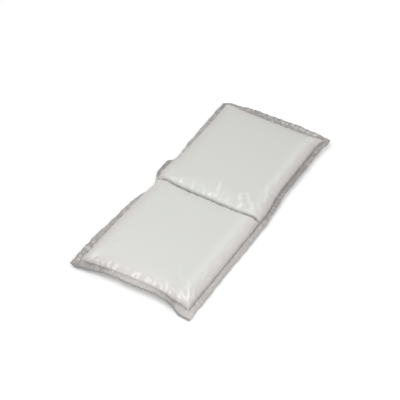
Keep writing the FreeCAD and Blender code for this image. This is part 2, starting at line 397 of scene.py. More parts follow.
def rim_lines(weld: float, side: Side, count: int) -> Lines:
    """Lines of a rim, in the order of their axis.

    Args:
        weld: Place of the weld that the rim starts from.
        side: Side of the pack that the rim is on.
        count: Number of gaps between the lines.

    Returns:
        The rim's lines.
    """
    rim = np.linspace(0, 1, count + 1)
    rim = rim if side is Side.PLUS else rim[::-1]
    zeros = np.zeros(count + 1)
    # The weld itself belongs to no side, so that both stretches agree about it.
    return Lines(np.full(count + 1, weld), zeros, zeros, rim, side.value * (rim > 0))


def fold_lines(low: float, high: float, count: int) -> Lines:
    """Lines of the flat weld between the two cells."""
    zeros = np.zeros(count + 1)
    return Lines(np.linspace(low, high, count + 1), zeros, zeros, zeros, zeros)


def cell_lines(low: float, high: float, low_wall: Shoulder, high_wall: Shoulder,
               count: int) -> Lines:
    """Lines over a cell, evenly spaced along the film.

    Args:
        low: Place of the weld at the lower end.
        high: Place of the weld at the upper end.
        low_wall: Wall over the lower weld.
        high_wall: Wall over the upper weld.
        count: Number of gaps between the lines.

    Returns:
        The cell's lines.
    """
    # A fine trial section, closest where the walls are steep, gives the length of film.
    turn = np.linspace(0, np.pi, TRIAL_POINTS)
    trial = (low + high) / 2 - (high - low) / 2 * np.cos(turn)
    share = np.minimum(low_wall.share(trial - low), high_wall.share(high - trial))
    step = np.hypot(np.diff(trial), np.diff(share * max(low_wall.rise, high_wall.rise)))
    travelled = np.concatenate([[0], np.cumsum(step)])
    even = np.linspace(0, travelled[-1], count + 1)
    place, share = (np.interp(even, travelled, values) for values in (trial, share))
    crown = np.maximum(np.sin(np.pi * (place - low) / (high - low)), 0) ** CROWN_POWER
    zeros = np.zeros(count + 1)
    return Lines(place, share, crown, zeros, zeros)


def nearest(places: Array, welds: tuple[float, ...]) -> Array:
    """Distance of each place from the nearest of some welds."""
    return np.min([np.abs(places - weld) for weld in welds], axis=0)


@dataclass(frozen=True)
class Grid:
    """The lines of one sheet of film.

    Attributes:
        along, across: Its lines along X and along Y.
    """

    sheet: Sheet
    along: Lines
    across: Lines

    @property
    def share(self) -> Array:
        """How far each crossing stands up its cell's walls, from 0 to 1."""
        return self.along.share[:, None] * self.across.share[None, :]

    @property
    def off_weld(self) -> Array:
        """From 0 at a weld to 1, which it reaches at a third of the wall's height."""
        return np.clip(3 * self.share, 0, 1)

    @property
    def rim(self) -> Array:
        """How far out in the rim each crossing is, from 0 at the weld to 1 at the edge."""
        return np.maximum(self.along.rim[:, None], self.across.rim[None, :])


@dataclass
class PouchShape:
    """Shape of the filled pouch, with its walls, its rim and its fold.

    Attributes:
        low, high: Corners of the pack's box.
        near_weld, fold_near, fold_far, far_weld: Places along X where the cells end.
        side_weld: Distance of the long sides' welds from the middle.
        seal_height: Height of the welds over the floor.
        film: Thickness of one sheet.
        crown: Height of a cell's crown over the level ends of its walls.
        side_run, end_run, near_fold_run, far_fold_run, belly_run: Widths of the walls.
        fold_steep_run, fold_steep_share: Width of the steep part of the walls at the fold,
            and its share of their height.
        rim_width: Width that the rim has in measures from its weld.
        rim_bow: How early the rim bends towards the height of its cut edge.
        corner_tuck: How far the far left corner is drawn in.
        reach_of_side: Distance inside a weld up to which its stations move the film.
        gaps: Gaps of the coarsest grid across a rim, along each cell and across a cell.
    """

    low: Vector
    high: Vector
    near_weld: float = -151.5 * MM
    fold_near: float = -4.2 * MM
    fold_far: float = -2.4 * MM
    far_weld: float = 156.0 * MM
    side_weld: float = 67.5 * MM
    seal_height: float = 6.0 * MM
    film: float = 0.25 * MM
    crown: float = 2.4 * MM
    side_run: float = 11.0 * MM
    end_run: float = 19.0 * MM
    fold_steep_run: float = 2.2 * MM
    fold_steep_share: float = 0.75
    near_fold_run: float = 8.0 * MM
    far_fold_run: float = 18.0 * MM
    belly_run: float = 15.0 * MM
    rim_width: float = 8.0 * MM
    rim_bow: float = 1.35
    corner_tuck: float = 3.2 * MM
    reach_of_side: float = 34.0 * MM
    gaps: tuple[int, int, int, int] = (5, 72, 74, 68)

    @property
    def shoulder_height(self) -> float:
        """Height of the level ends of the walls, where the crown starts."""
        return self.high.z - self.crown

    def walls(self, sheet: Sheet) -> tuple[Shoulder, ...]:
        """Draw up the wall sections of one sheet.

        Args:
            sheet: The sheet.

        Returns:
            The walls at an end, on the near and the far side of the fold and along a long side.
        """
        if sheet is Sheet.LOWER:
            return (Shoulder(self.belly_run, self.seal_height),) * 4
        rise = self.shoulder_height - self.seal_height
        fold = (self.fold_steep_run, self.fold_steep_share)
        return (Shoulder(self.end_run, rise), Shoulder(self.near_fold_run, rise, *fold),
                Shoulder(self.far_fold_run, rise, *fold), Shoulder(self.side_run, rise))

    def grid(self, sheet: Sheet, fineness: int) -> Grid:
        """Lay out the lines of one sheet.

        Args:
            sheet: The sheet.
            fineness: How many gaps each gap of the coarsest grid is cut into.

        Returns:
            The sheet's lines.
        """
        end, near_fold, far_fold, side = self.walls(sheet)
        rim, near, far, width = (gap * fineness for gap in self.gaps)
        along = join_lines([
            rim_lines(self.near_weld, Side.MINUS, rim),
            cell_lines(self.near_weld, self.fold_near, end, near_fold, near),
            fold_lines(self.fold_near, self.fold_far, fineness),
            cell_lines(self.fold_far, self.far_weld, far_fold, end, far),
            rim_lines(self.far_weld, Side.PLUS, rim),
        ])
        across = join_lines([
            rim_lines(-self.side_weld, Side.MINUS, rim),
            cell_lines(-self.side_weld, self.side_weld, side, side, width),
            rim_lines(self.side_weld, Side.PLUS, rim),
        ])
        return Grid(sheet, along, across)

    def weld(self, seam: Seam) -> float:
        """Place of a seam's weld, on the axis that it lies across."""
        end = self.far_weld if seam.side is Side.PLUS else self.near_weld
        return seam.side.value * self.side_weld if seam.axis else end

    def side_field(self, place: Array, weld: float) -> Array:
        """How much a weld's own place counts at lines further in, from 1 to 0."""
        away = np.clip(np.abs(place - weld) / self.reach_of_side, 0, 1)
        return (1 - away) ** 2 * (1 + 2 * away)

    def inward(self, grid: Grid) -> Array:
        """Measure how far in from the welds the film lies.

        Args:
            grid: The lines of one sheet.

        Returns:
            The distance of each crossing from the nearest weld, or 0 in a weld.
        """
        along, across = grid.along, grid.across
        welds = (self.near_weld, self.fold_near, self.fold_far, self.far_weld)
        from_end = nearest(along.place, welds) * (along.share > 0)
        from_side = (self.side_weld - np.abs(across.place)) * (across.share > 0)
        return np.minimum(from_end[:, None], from_side[None, :])

    def from_rim_weld(self, grid: Grid) -> Array:
        """Measure how far from the weld that the rim starts from the film lies.

        Args:
            grid: The lines of one sheet.

        Returns:
            The distance of each crossing from it, inwards or outwards.
        """
        place = grid.along.place
        from_end = np.minimum(place - self.near_weld, self.far_weld - place)
        from_side = self.side_weld - np.abs(grid.across.place)
        inside = np.minimum(from_end[:, None], from_side[None, :])
        return np.maximum(inside, self.rim_width * grid.rim)

    def surface(self, grid: Grid) -> Array:
        """Place every crossing of one sheet's lines.

        Args:
            grid: The sheet's lines.

        Returns:
            An array of points, by line along X and line along Y.
        """
        along, across, share = grid.along, grid.across, grid.share
        x = along.place[:, None] + np.zeros(len(across))
        y = across.place[None, :] + np.zeros((len(along), 1))
        move_x, move_y = np.zeros_like(x), np.zeros_like(y)
        height = np.full_like(x, self.seal_height)
        lift = np.zeros_like(x)
        for seam in SEAMS:
            lines, weld, sign = across if seam.axis else along, self.weld(seam), seam.side.value
            place, through, move = (x, y, move_y) if seam.axis else (y, x, move_x)
            rim = seam.inwards(lines.rim * (lines.side == sign))
            near = self.side_field(through, weld)
            weld_reach, weld_height = (seam.course(name, place) for name in ("weld", "weld_height"))
            move += sign * near * (weld_reach - abs(weld))
            move += sign * rim * (seam.course("edge", place) - weld_reach)
            height += near * (weld_height - self.seal_height)
            bend = self.rim_bow * rim ** 2 * (1 - rim) + rim ** 3
            lift += bend * (seam.course("edge_height", place) - weld_height)
        far_left = np.outer(along.rim * (along.side > 0), across.rim * (across.side > 0))
        tuck = self.corner_tuck * far_left ** 2
        film = self.film * (1 - share)
        if grid.sheet is Sheet.UPPER:
            top = self.shoulder_height + self.crown * np.outer(along.crown, across.crown)
            z = height * (1 - share) + top * share + lift + film
        else:
            z = height * (1 - share) + lift - film
        return np.stack([x + move_x - tuck, y + move_y - tuck, z], axis=-1)


@dataclass(frozen=True)
class Shading:
    """How grey and how warm the film looks round its welds, with painted shade and highlights.

    Attributes:
        reach: Distance from a weld at which its own greyness stops counting.
        least, in_rim: What it still counts for there, and adds in its own rim.
        fade: Distance over which the greyness fades inside a weld.
        fold_reach, fold_weight: Distance up to which the fold changes the greyness, and what
            its own counts for.
        thin, thin_at_fold: How quickly the greyness goes as the filling gets thicker, and
            what the fold adds to that.
        clear: Share of its height from which a cell is clear of its side walls.
        fold_shade_width, fold_shade: Half the width of the painted shade line in the fold, and its
        darkness.
        painted_crease_shade, painted_crease_shade_right, painted_crease_shade_width: Painted
        shade along the rim's weld, what the right side adds to it, and half its width.
        end_edges_and_shade: Darkness of the cut edge at the near and at the far end, partly its own
            and partly painted shade, most under the raised near end.
        side_edges_and_shade: Darkness of the cut edge on the right and on the left side, partly its
            own and partly painted shade.
        warm_reach: Distance from the rim's weld at which the white is no longer warm.
        shoulder, shoulder_inset, shoulder_width: Strength of the painted highlight along the right
        shoulder, drawn in the loose film's colour, and that band's distance in from the wall and
        half its width.
    """

    reach: float = 8.0 * MM
    least: float = 0.001
    in_rim: float = 3.0
    fade: float = 4.5 * MM
    fold_reach: float = 8.0 * MM
    fold_weight: float = 0.05
    fold_shade_width: float = 0.6 * MM
    thin: float = 3.0
    thin_at_fold: float = 9.0
    clear: float = 0.8
    painted_crease_shade: float = 0.1
    painted_crease_shade_right: float = 0.25
    painted_crease_shade_width: float = 1.3 * MM
    end_edges_and_shade: tuple[float, float] = (1.0, 0.97)
    side_edges_and_shade: tuple[float, float] = (0.82, 0.9)
    fold_shade: float = 0.95
    warm_reach: float = 18.0 * MM
    shoulder: float = 0.4
    shoulder_inset: float = 2.0 * MM
    shoulder_width: float = 5.0 * MM

    def looks(self, shape: PouchShape, grid: Grid) -> dict[str, Array]:
        """Measure how one sheet looks at every crossing.

        Args:
            shape: The pouch.
            grid: The sheet's lines.

        Returns:
            Its greyness with painted shade in it, how near it is to the look of the cut edge or of
            the painted shade in the fold, and how warm its white is, each from 0 to 1.
        """
        along, across = grid.along, grid.across
        clear = (across.share > self.clear)[None, :]
        from_fold = nearest(along.place, (shape.fold_near, shape.fold_far))
        # A narrow line of painted shade along the fold, put into the greyness and the cut edge's
        # look.
        in_fold, line = (np.exp(-(from_fold / reach) ** 2)[:, None] * clear
                         for reach in (self.fold_reach, self.fold_shade_width))
        thin = np.maximum((1 - grid.share) ** (self.thin + self.thin_at_fold * in_fold), line)
        from_weld = shape.from_rim_weld(grid)
        # Painted shade along the rim's weld, darker towards the right side.
        to_right = np.clip(-across.place / shape.side_weld, 0, 1)[None, :]
        painted_crease_shade = self.painted_crease_shade + self.painted_crease_shade_right * to_right
        painted_crease_shade = painted_crease_shade * np.exp(-(from_weld / self.painted_crease_shade_width) ** 2)
        total = weight = self.fold_weight * in_fold
        faded = np.zeros_like(thin)
        for seam in SEAMS:
            lines, other = (across, along) if seam.axis else (along, across)
            away = np.abs(lines.place - shape.weld(seam))
            near = np.clip(1 - away / self.reach, self.least, 1) ** 2
            near = near + self.in_rim * lines.rim * (lines.side == seam.side.value)
            # The stations' greyness brings painted shade into the rim along with its own grey.
            tone = seam.onwards(seam.course("tone", other.place, unit=1.0))
            total = total + tone * seam.inwards(near)
            weight = weight + seam.inwards(near)
            # Greyer just inside each weld: partly the thin filling, partly painted shade at the
            # wall's foot.
            inside = seam.fade * np.exp(-away / self.fade) * (lines.share > 0)
            faded = np.maximum(faded, seam.inwards(inside))
        # The cut edge's darkness is partly its own and partly painted shade, most under the raised
        # near end.
        ends, sides = (lines.rim * np.where(lines.side < 0, *edges)
                       for lines, edges in ((along, self.end_edges_and_shade), (across, self.side_edges_and_shade)))
        edge = np.maximum(ends[:, None], sides[None, :])
        return {
            "grey": np.clip(np.maximum(thin, faded) * total / weight + painted_crease_shade, 0, 1),
            "rim": np.maximum(edge, self.fold_shade * line),
            "warmth": np.clip(1 - from_weld / self.warm_reach, 0, 1),
        }

    def shoulder_highlight(self, shape: PouchShape, grid: Grid) -> Array:
        """Measure the painted highlight along the upper sheet's right shoulder.

        Args:
            shape: The pouch.
            grid: The upper sheet's lines.

        Returns:
            The share of the loose film's colour that paints the highlight at each crossing.
        """
        inward = grid.across.place + shape.side_weld
        off_band = (inward - shape.side_run - self.shoulder_inset) / self.shoulder_width
        band = self.shoulder * np.exp(-off_band ** 2) * (grid.across.share > 0)
        return np.outer(grid.along.share, band)


def facing(points: Array) -> Array:
    """Unit vectors square to a grid of points, upwards where it lies flat."""
    square = np.cross(np.gradient(points, axis=0), np.gradient(points, axis=1))
    return square / np.linalg.norm(square, axis=-1, keepdims=True)


def closed_film(name: str, upper: Array, lower: Array) -> Mesh:
    """Join two sheets along their outer edges into one closed mesh.

    Args:
        name: Name of the mesh.
        upper: Points of the upper sheet, by line along X and line along Y.
        lower: Points of the lower sheet, in the same order.

    Returns:
        The closed mesh, smooth apart from the cut edge of the film.
    """
    rows, columns = upper.shape[:2]
    index = np.arange(rows * columns).reshape(rows, columns)
    corners = (index[:-1, :-1], index[1:, :-1], index[1:, 1:], index[:-1, 1:])
    quads = np.stack(corners, axis=-1).reshape(-1, 4)
    border = np.concatenate([index[:-1, 0], index[-1, :-1], index[:0:-1, -1], index[0, :0:-1]])
    ahead = np.roll(border, -1)
    below = rows * columns
    edge = np.stack([border + below, ahead + below, ahead, border], axis=-1)
    faces = np.concatenate([quads, quads[:, ::-1] + below, edge])
    points = np.concatenate([upper.reshape(-1, 3), lower.reshape(-1, 3)])
    mesh = bpy.data.meshes.new(name)
    mesh.from_pydata(points.tolist(), [], faces.tolist())
    mesh.polygons.foreach_set("use_smooth", [True] * len(mesh.polygons))
    on_border = np.zeros(2 * below, bool)
    on_border[border] = on_border[border + below] = True
    ends = np.empty(2 * len(mesh.edges), int)
    mesh.edges.foreach_get("vertices", ends)
    sharp = on_border[ends].reshape(-1, 2).all(axis=1)
    mesh.attributes.new("sharp_edge", "BOOLEAN", "EDGE").data.foreach_set("value", sharp)
    mesh.update()
    return mesh


@dataclass(frozen=True)
class Gathering:
    """How the film gathers along its welds as the filling pushes it out.

    The film is cut a little too wide for the filled shape, so cloth simulation lets it
    out next to the welds and pushes it from inside. It then falls into small puckers
    there, and into longer wrinkles across the corners of the cells.

    Attributes:
        slack, slack_reach: Share by which the film is let out at a weld, and the distance at
            which none is let out any more.
        patch, patch_share: Size of the patches in which more or less film is let out, and the
            least, the middle and the range of the share of the slack that they get.
        shear: Resistance to shear, as a share of the stiffness.
        bending: Resistance to being folded, and how that is damped.
        unevenness: Size of the chance dents that the puckers start from.
        resting: Share of the walls underneath beyond which the film rests on the floor.
        kept_inside, calm_reach: Share of the movement that is kept far from the welds, and
            the distance at which it is down to that.
        most: Most that a point may move.
    """

    steps: int = 20
    quality: int = 5
    slack: float = 0.14
    slack_reach: float = 25 * MM
    patch: float = 14 * MM
    patch_share: tuple[float, float, float] = (0.1, 0.6, 0.9)
    pressure: float = 2.0
    mass: float = 0.1
    stiffness: float = 20.0
    shear: float = 0.25
    damping: float = 5.0
    bending: tuple[float, float] = (0.01, 0.5)
    unevenness: float = 0.03 * MM
    resting: float = 0.9
    calm_reach: float = 40 * MM
    kept_inside: float = 0.15
    most: float = 2.5 * MM
    seed: int = 5

    def settle(self, mesh: Mesh, held: Array, slack: Array) -> Array:
        """Run the simulation.

        Args:
            mesh: The closed film before it gathers. It is used up.
            held: Which points stay where they are.
            slack: How much film is let out at each point, from 0 to 1.

        Returns:
            How far each point moves.
        """
        start = read_points(mesh)
        chance = np.random.default_rng(self.seed)
        patches = np.array([noise.noise(Vector(point / self.patch)) for point in start])
        least, middle, spread = self.patch_share
        slack = slack * np.clip(middle + spread * patches, least, 1)
        dented = start.copy()
        dented[:, 2] += chance.normal(0, self.unevenness, len(start)) * ~held
        mesh.vertices.foreach_set("co", dented.ravel())
        film = put("film_to_settle", mesh)
        for name, weights in (("held", held.astype(float)), ("loose", slack)):
            group = film.vertex_groups.new(name=name)
            for index in np.flatnonzero(weights > 0):
                group.add([int(index)], float(weights[index]), "REPLACE")
        cloth = film.modifiers.new("cloth", "CLOTH").settings
        cloth.quality, cloth.mass = self.quality, self.mass
        cloth.tension_stiffness = cloth.compression_stiffness = self.stiffness
        cloth.shear_stiffness = self.stiffness * self.shear
        cloth.tension_damping = cloth.compression_damping = cloth.shear_damping = self.damping
        cloth.bending_stiffness, cloth.bending_damping = self.bending
        cloth.use_pressure = True
        cloth.uniform_pressure_force = self.pressure
        cloth.vertex_group_mass = "held"
        cloth.vertex_group_shrink = "loose"
        cloth.shrink_min, cloth.shrink_max = 0, -self.slack
        cloth.effector_weights.gravity = 0
        for step in range(1, self.steps + 1):
            bpy.context.scene.frame_set(step)
        settled = with_modifiers(film)
        moved = read_points(settled) - start
        bpy.data.objects.remove(film)
        bpy.data.meshes.remove(settled)
        bpy.context.scene.frame_set(1)
        return moved

    def calmed(self, moved: Array, inward: Array) -> Array:
        """Keep the movement of one sheet to the film beside the welds, and within bounds.

        Args:
            moved: How far each crossing of the sheet's lines moves.
            inward: How far in from the welds each crossing lies.

        Returns:
            How far each crossing of a grid twice as fine moves.
        """
        beside = np.clip(1 - inward / self.calm_reach, 0, 1)[..., None]
        moved = moved * (self.kept_inside + (1 - self.kept_inside) * beside)
        length = np.linalg.norm(moved, axis=-1, keepdims=True)
        moved = moved * self.most / np.hypot(self.most, length)
        return np.swapaxes(halved(np.swapaxes(halved(moved), 0, 1)), 0, 1)


def read_points(mesh: Mesh) -> Array:
    """Read the points of a mesh.

    Args:
        mesh: The mesh.

    Returns:
        An array with one point to a row.
    """
    flat = np.empty(3 * len(mesh.vertices))
    mesh.vertices.foreach_get("co", flat)
    return flat.reshape(-1, 3)


def halved(grid: Array) -> Array:
    """Put a smooth new row between each pair of rows of a grid.

    Args:
        grid: The rows.

    Returns:
        The old and the new rows.
    """
    padded = np.concatenate([2 * grid[:1] - grid[1:2], grid, 2 * grid[-1:] - grid[-2:-1]])
    between = (9 * (padded[1:-2] + padded[2:-1]) - padded[:-3] - padded[3:]) / 16
    finer = np.empty((2 * len(grid) - 1, *grid.shape[1:]))
    finer[::2], finer[1::2] = grid, between
    return finer


def add_node(tree: Tree, kind: str, inputs: dict[str | int, object],
             **settings: object) -> bpy.types.Node:
    """Add a node, set it and feed its sockets.

    Args:
        tree: The node tree to build in.
        kind: The node's type.
        inputs: For each socket, by name or number, its value or the socket that feeds it.
        settings: The node's own settings.

    Returns:
        The new node.
    """
    node = tree.nodes.new(kind)
    for name, value in settings.items():
        setattr(node, name, value)
    for name, value in inputs.items():
        if isinstance(value, Socket):
            tree.links.new(value, node.inputs[name])
        else:
            node.inputs[name].default_value = value
    return node


def maths(tree: Tree, operation: str, *values: object, **settings: object) -> Socket:
    """Add a sum with numbers or sockets, and return the socket with its result."""
    return add_node(tree, "ShaderNodeMath", dict(enumerate(values)), operation=operation,
                    **settings).outputs[0]


@dataclass(frozen=True)
class Crinkle:
    """Ripples across the welds, in the rim and up the film beside it, and a cut edge that strays.

    Attributes:
        spacing, length: Distance between two ripples along a weld, and that over which one
            keeps its height across the weld.
        reach: Distance from a weld at which its ripples end.
        fold_start: Distance from the fold at which its ripples are at their full height.
        calm: Share that the ripples of one side lose in the rim of another.
        stray, stray_spacing: How far the cut edge strays sideways, and the distance between
            two of its bends.
        flat: Spacing upright, so large that the pattern doesn't change with the height.
        middle: Middle value of a noise pattern.
    """

    spacing: float = 5.0 * MM
    length: float = 22.0 * MM
    height: float = 3.0 * MM
    reach: float = 14.0 * MM
    fold_start: float = 3.0 * MM
    calm: float = 0.6
    stray: float = 3.0 * MM
    stray_spacing: float = 12.0 * MM
    flat: float = 1.0e6
    middle: float = 0.5
    seed: int = 3

    def fading(self, away: Array) -> Array:
        """How high ripples are at distances from their weld, from 1 to 0."""
        return np.clip(1 - away / self.reach, 0, 1)

    def masks(self, shape: PouchShape, grid: Grid) -> dict[str, Array]:
        """Measure where one sheet ripples.

        Args:
            shape: The pouch.
            grid: The sheet's lines.

        Returns:
            The strength of the ripples across the long sides, that of the ripples across the
            ends and the fold, how much of their movement is upright instead of square to the
            film, and how near the cut edge is, each from 0 to 1.
        """
        along, across = grid.along, grid.across
        from_fold = nearest(along.place, (shape.fold_near, shape.fold_far))
        from_end = nearest(along.place, (shape.near_weld, shape.far_weld))
        beside_fold = np.clip(from_fold / self.fold_start, 0, 1) * self.fading(from_fold)
        ends = self.fading(from_end) ** 2 + beside_fold
        sides = self.fading(shape.side_weld - np.abs(across.place)) ** 2
        in_end, in_side = (1 - self.calm * (lines.side != 0) for lines in (along, across))
        return {
            "side_ripple": np.outer(in_end, sides),
            "end_ripple": np.outer(ends, in_side),
            "upright": 1 - grid.off_weld,
            "outer": grid.rim ** 2,
        }

    def tree(self) -> Tree:
        """Build the node tree.

        Returns:
            The tree, with an input for each size.
        """
        tree = bpy.data.node_groups.new("crinkle", "GeometryNodeTree")
        sockets = {"Film": "Geometry", "Material": "Material"}
        sockets.update(dict.fromkeys(self.sizes(), "Float"))
        for name, kind in sockets.items():
            tree.interface.new_socket(name, in_out="INPUT", socket_type="NodeSocket" + kind)
        tree.interface.new_socket("Film", in_out="OUTPUT", socket_type="NodeSocketGeometry")
        given = tree.nodes.new("NodeGroupInput").outputs
        place = tree.nodes.new("GeometryNodeInputPosition").outputs[0]
        normal = tree.nodes.new("GeometryNodeInputNormal").outputs[0]

        def carried(name: str) -> Socket:
            """A value that the film carries."""
            return add_node(tree, "GeometryNodeInputNamedAttribute", {"Name": name},
                            data_type="FLOAT").outputs["Attribute"]

        def vector(operation: str, *values: object, **scale: object) -> Socket:
            """Add a sum with vectors or sockets, and return the socket with its result."""
            return add_node(tree, "ShaderNodeVectorMath", {**dict(enumerate(values)), **scale},
                            operation=operation).outputs[0]

        def pattern(*spacings: object) -> bpy.types.Node:
            """Add a noise pattern that looks the same at every height.

            Args:
                spacings: Distances between two of its spots along X and along Y.

            Returns:
                The node that makes the pattern.
            """
            pitch = add_node(tree, "ShaderNodeCombineXYZ", dict(enumerate((*spacings, self.flat))))
            inputs = {"Vector": vector("DIVIDE", place, pitch.outputs[0]), "W": given["Seed"],
                      "Scale": 1.0, "Detail": 1.0}
            return add_node(tree, "ShaderNodeTexNoise", inputs, noise_dimensions="4D")

        spacing, length = given["Spacing"], given["Length"]
        ripples = []
        for name, *spacings in (("side_ripple", spacing, length), ("end_ripple", length, spacing)):
            level = maths(tree, "SUBTRACT", pattern(*spacings).outputs[0], self.middle)
            ripples.append(maths(tree, "MULTIPLY", level, carried(name)))
        rise = maths(tree, "MULTIPLY", maths(tree, "ADD", *ripples), given["Height"])
        ways = {"Factor": carried("upright"), 4: normal, 5: (0, 0, 1)}
        way = add_node(tree, "ShaderNodeMix", ways, data_type="VECTOR").outputs[1]
        lift = vector("SCALE", way, Scale=rise)
        bends = pattern(given["Stray spacing"], given["Stray spacing"]).outputs[1]
        level_bends = vector("MULTIPLY", vector("SUBTRACT", bends, (self.middle,) * 3), (1, 1, 0))
        far_out = maths(tree, "MULTIPLY", carried("outer"), given["Stray"])
        offset = vector("ADD", lift, vector("SCALE", level_bends, Scale=far_out))
        moved = add_node(tree, "GeometryNodeSetPosition",
                         {"Geometry": given["Film"], "Offset": offset})
        real = add_node(tree, "GeometryNodeRealizeInstances", {0: moved.outputs[0]})
        dressed = add_node(tree, "GeometryNodeSetMaterial",
                           {0: real.outputs[0], "Material": given["Material"]})
        add_node(tree, "NodeGroupOutput", {0: dressed.outputs[0]})
        return tree

    def sizes(self) -> dict[str, float]:
        """The named inputs of the tree and their values."""
        return {"Spacing": self.spacing, "Length": self.length, "Height": self.height,
                "Stray": self.stray, "Stray spacing": self.stray_spacing, "Seed": float(self.seed)}

    def press(self, mesh: Mesh, material: bpy.types.Material) -> Mesh:
        """Crinkle a film.

        Args:
            mesh: The smooth film. It is used up.
            material: The film's material.

        Returns:
            The crinkled film as a plain mesh.
        """
        smooth = put("film_to_crinkle", mesh)
        modifier = smooth.modifiers.new("crinkle", "NODES")
        modifier.node_group = self.tree()
        named = {item.name: item.identifier for item in modifier.node_group.interface.items_tree
                 if item.in_out == "INPUT"}
        modifier[named["Material"]] = material
        for name, value in self.sizes().items():
            modifier[named[name]] = value
        crinkled = with_modifiers(smooth)
        bpy.data.objects.remove(smooth)
        bpy.data.meshes.remove(mesh)
        return crinkled


@dataclass(frozen=True)
class FilmFinish:
    """White film over white filling, greyer and frosted where it is welded.

    Attributes:
        filled, near_weld, welded: Colours of the film over the filling, over thin filling
            beside a weld, and where it is welded and greyest.
        cut_edge_and_shade, edge_start: Colour of the cut edge, where light leaves the film, also
            used
        as painted shade under the raised near end and along the fold, and how far out in the rim
        it starts.
        loose, loose_rise: Colour of the film where it stands off the filling, partly a painted
        highlight on the wrinkles' crests and wholly one along the right shoulder, and the rise of
        a wrinkle at which it wholly does.
        mottle_scale: Number of spots in a metre of the welded film.
        mottle_noise, mottle: Range of the noise that makes the spots, and of their greyness,
            as shares of the film's.
        gloss, gloss_roughness: Strength of the smooth outer skin, and how matt it is.
    """

    name: str = "white_film"
    filled: Colour = (0.70, 0.71, 0.67)
    near_weld: Colour = (0.71, 0.67, 0.65)
    welded: Colour = (0.31, 0.295, 0.285)
    cut_edge_and_shade: Colour = (0.17, 0.165, 0.165)
    edge_start: float = 0.72
    loose: Colour = (0.86, 0.87, 0.83)
    loose_rise: float = 0.9 * MM
    mottle_scale: float = 190.0
    mottle_noise: tuple[float, float] = (0.3, 0.7)
    mottle: tuple[float, float] = (0.68, 1.2)
    roughness: float = 0.38
    gloss: float = 0.7
    gloss_roughness: float = 0.2

    def material(self) -> bpy.types.Material:
        """Build the material.

        Returns:
            The finished material.
        """
        made = bpy.data.materials.new(self.name)
        made.use_nodes = True
        tree = made.node_tree
        shader = tree.nodes["Principled BSDF"]
        shader.inputs["Roughness"].default_value = self.roughness
        shader.inputs["Coat Weight"].default_value = self.gloss
        shader.inputs["Coat Roughness"].default_value = self.gloss_roughness
        white = self.blend(tree, self.value(tree, "warmth"), self.filled, self.near_weld)
        # Whiter where the film stands off the filling, partly a painted highlight.
        white = self.blend(tree, self.value(tree, "loose"), white, self.loose)
        place = add_node(tree, "ShaderNodeTexCoord", {}).outputs["Object"]
        spots = add_node(tree, "ShaderNodeTexNoise",
                         {"Vector": place, "Scale": self.mottle_scale, "Detail": 1.0}).outputs[0]
        mottle = self.stretch(tree, spots, self.mottle_noise, self.mottle)
        # The greyness and the cut edge's colour also paint shade along the welds, in the fold and
        # under the raised rim.
        grey = maths(tree, "MULTIPLY", self.value(tree, "grey"), mottle, use_clamp=True)
        rim = self.blend(tree, grey, white, self.welded)
        outer = self.stretch(tree, self.value(tree, "rim"), (self.edge_start, 1.0), (0.0, 1.0))
        edged = self.blend(tree, outer, rim, self.cut_edge_and_shade)
        tree.links.new(edged, shader.inputs["Base Color"])
        return made

    @staticmethod
    def value(tree: Tree, name: str) -> Socket:
        """A value that the mesh carries."""
        return add_node(tree, "ShaderNodeAttribute", {}, attribute_name=name).outputs["Fac"]

    @staticmethod
    def stretch(tree: Tree, value: Socket, given: tuple[float, float],
                wanted: tuple[float, float]) -> Socket:
        """Bring a value from a given range to a wanted one, and keep it there."""
        names = ("From Min", "From Max", "To Min", "To Max")
        return add_node(tree, "ShaderNodeMapRange",
                        {"Value": value, **dict(zip(names, given + wanted))}).outputs["Result"]

    @staticmethod
    def blend(tree: Tree, share: Socket, *ends: object) -> Socket:
        """Blend two colours, each a socket or red, green and blue, by the share of the second."""
        colours = [(*end, 1) if isinstance(end, tuple) else end for end in ends]
        return add_node(tree, "ShaderNodeMix", {"Factor": share, **dict(zip("AB", colours))},
                        data_type="RGBA").outputs["Result"]


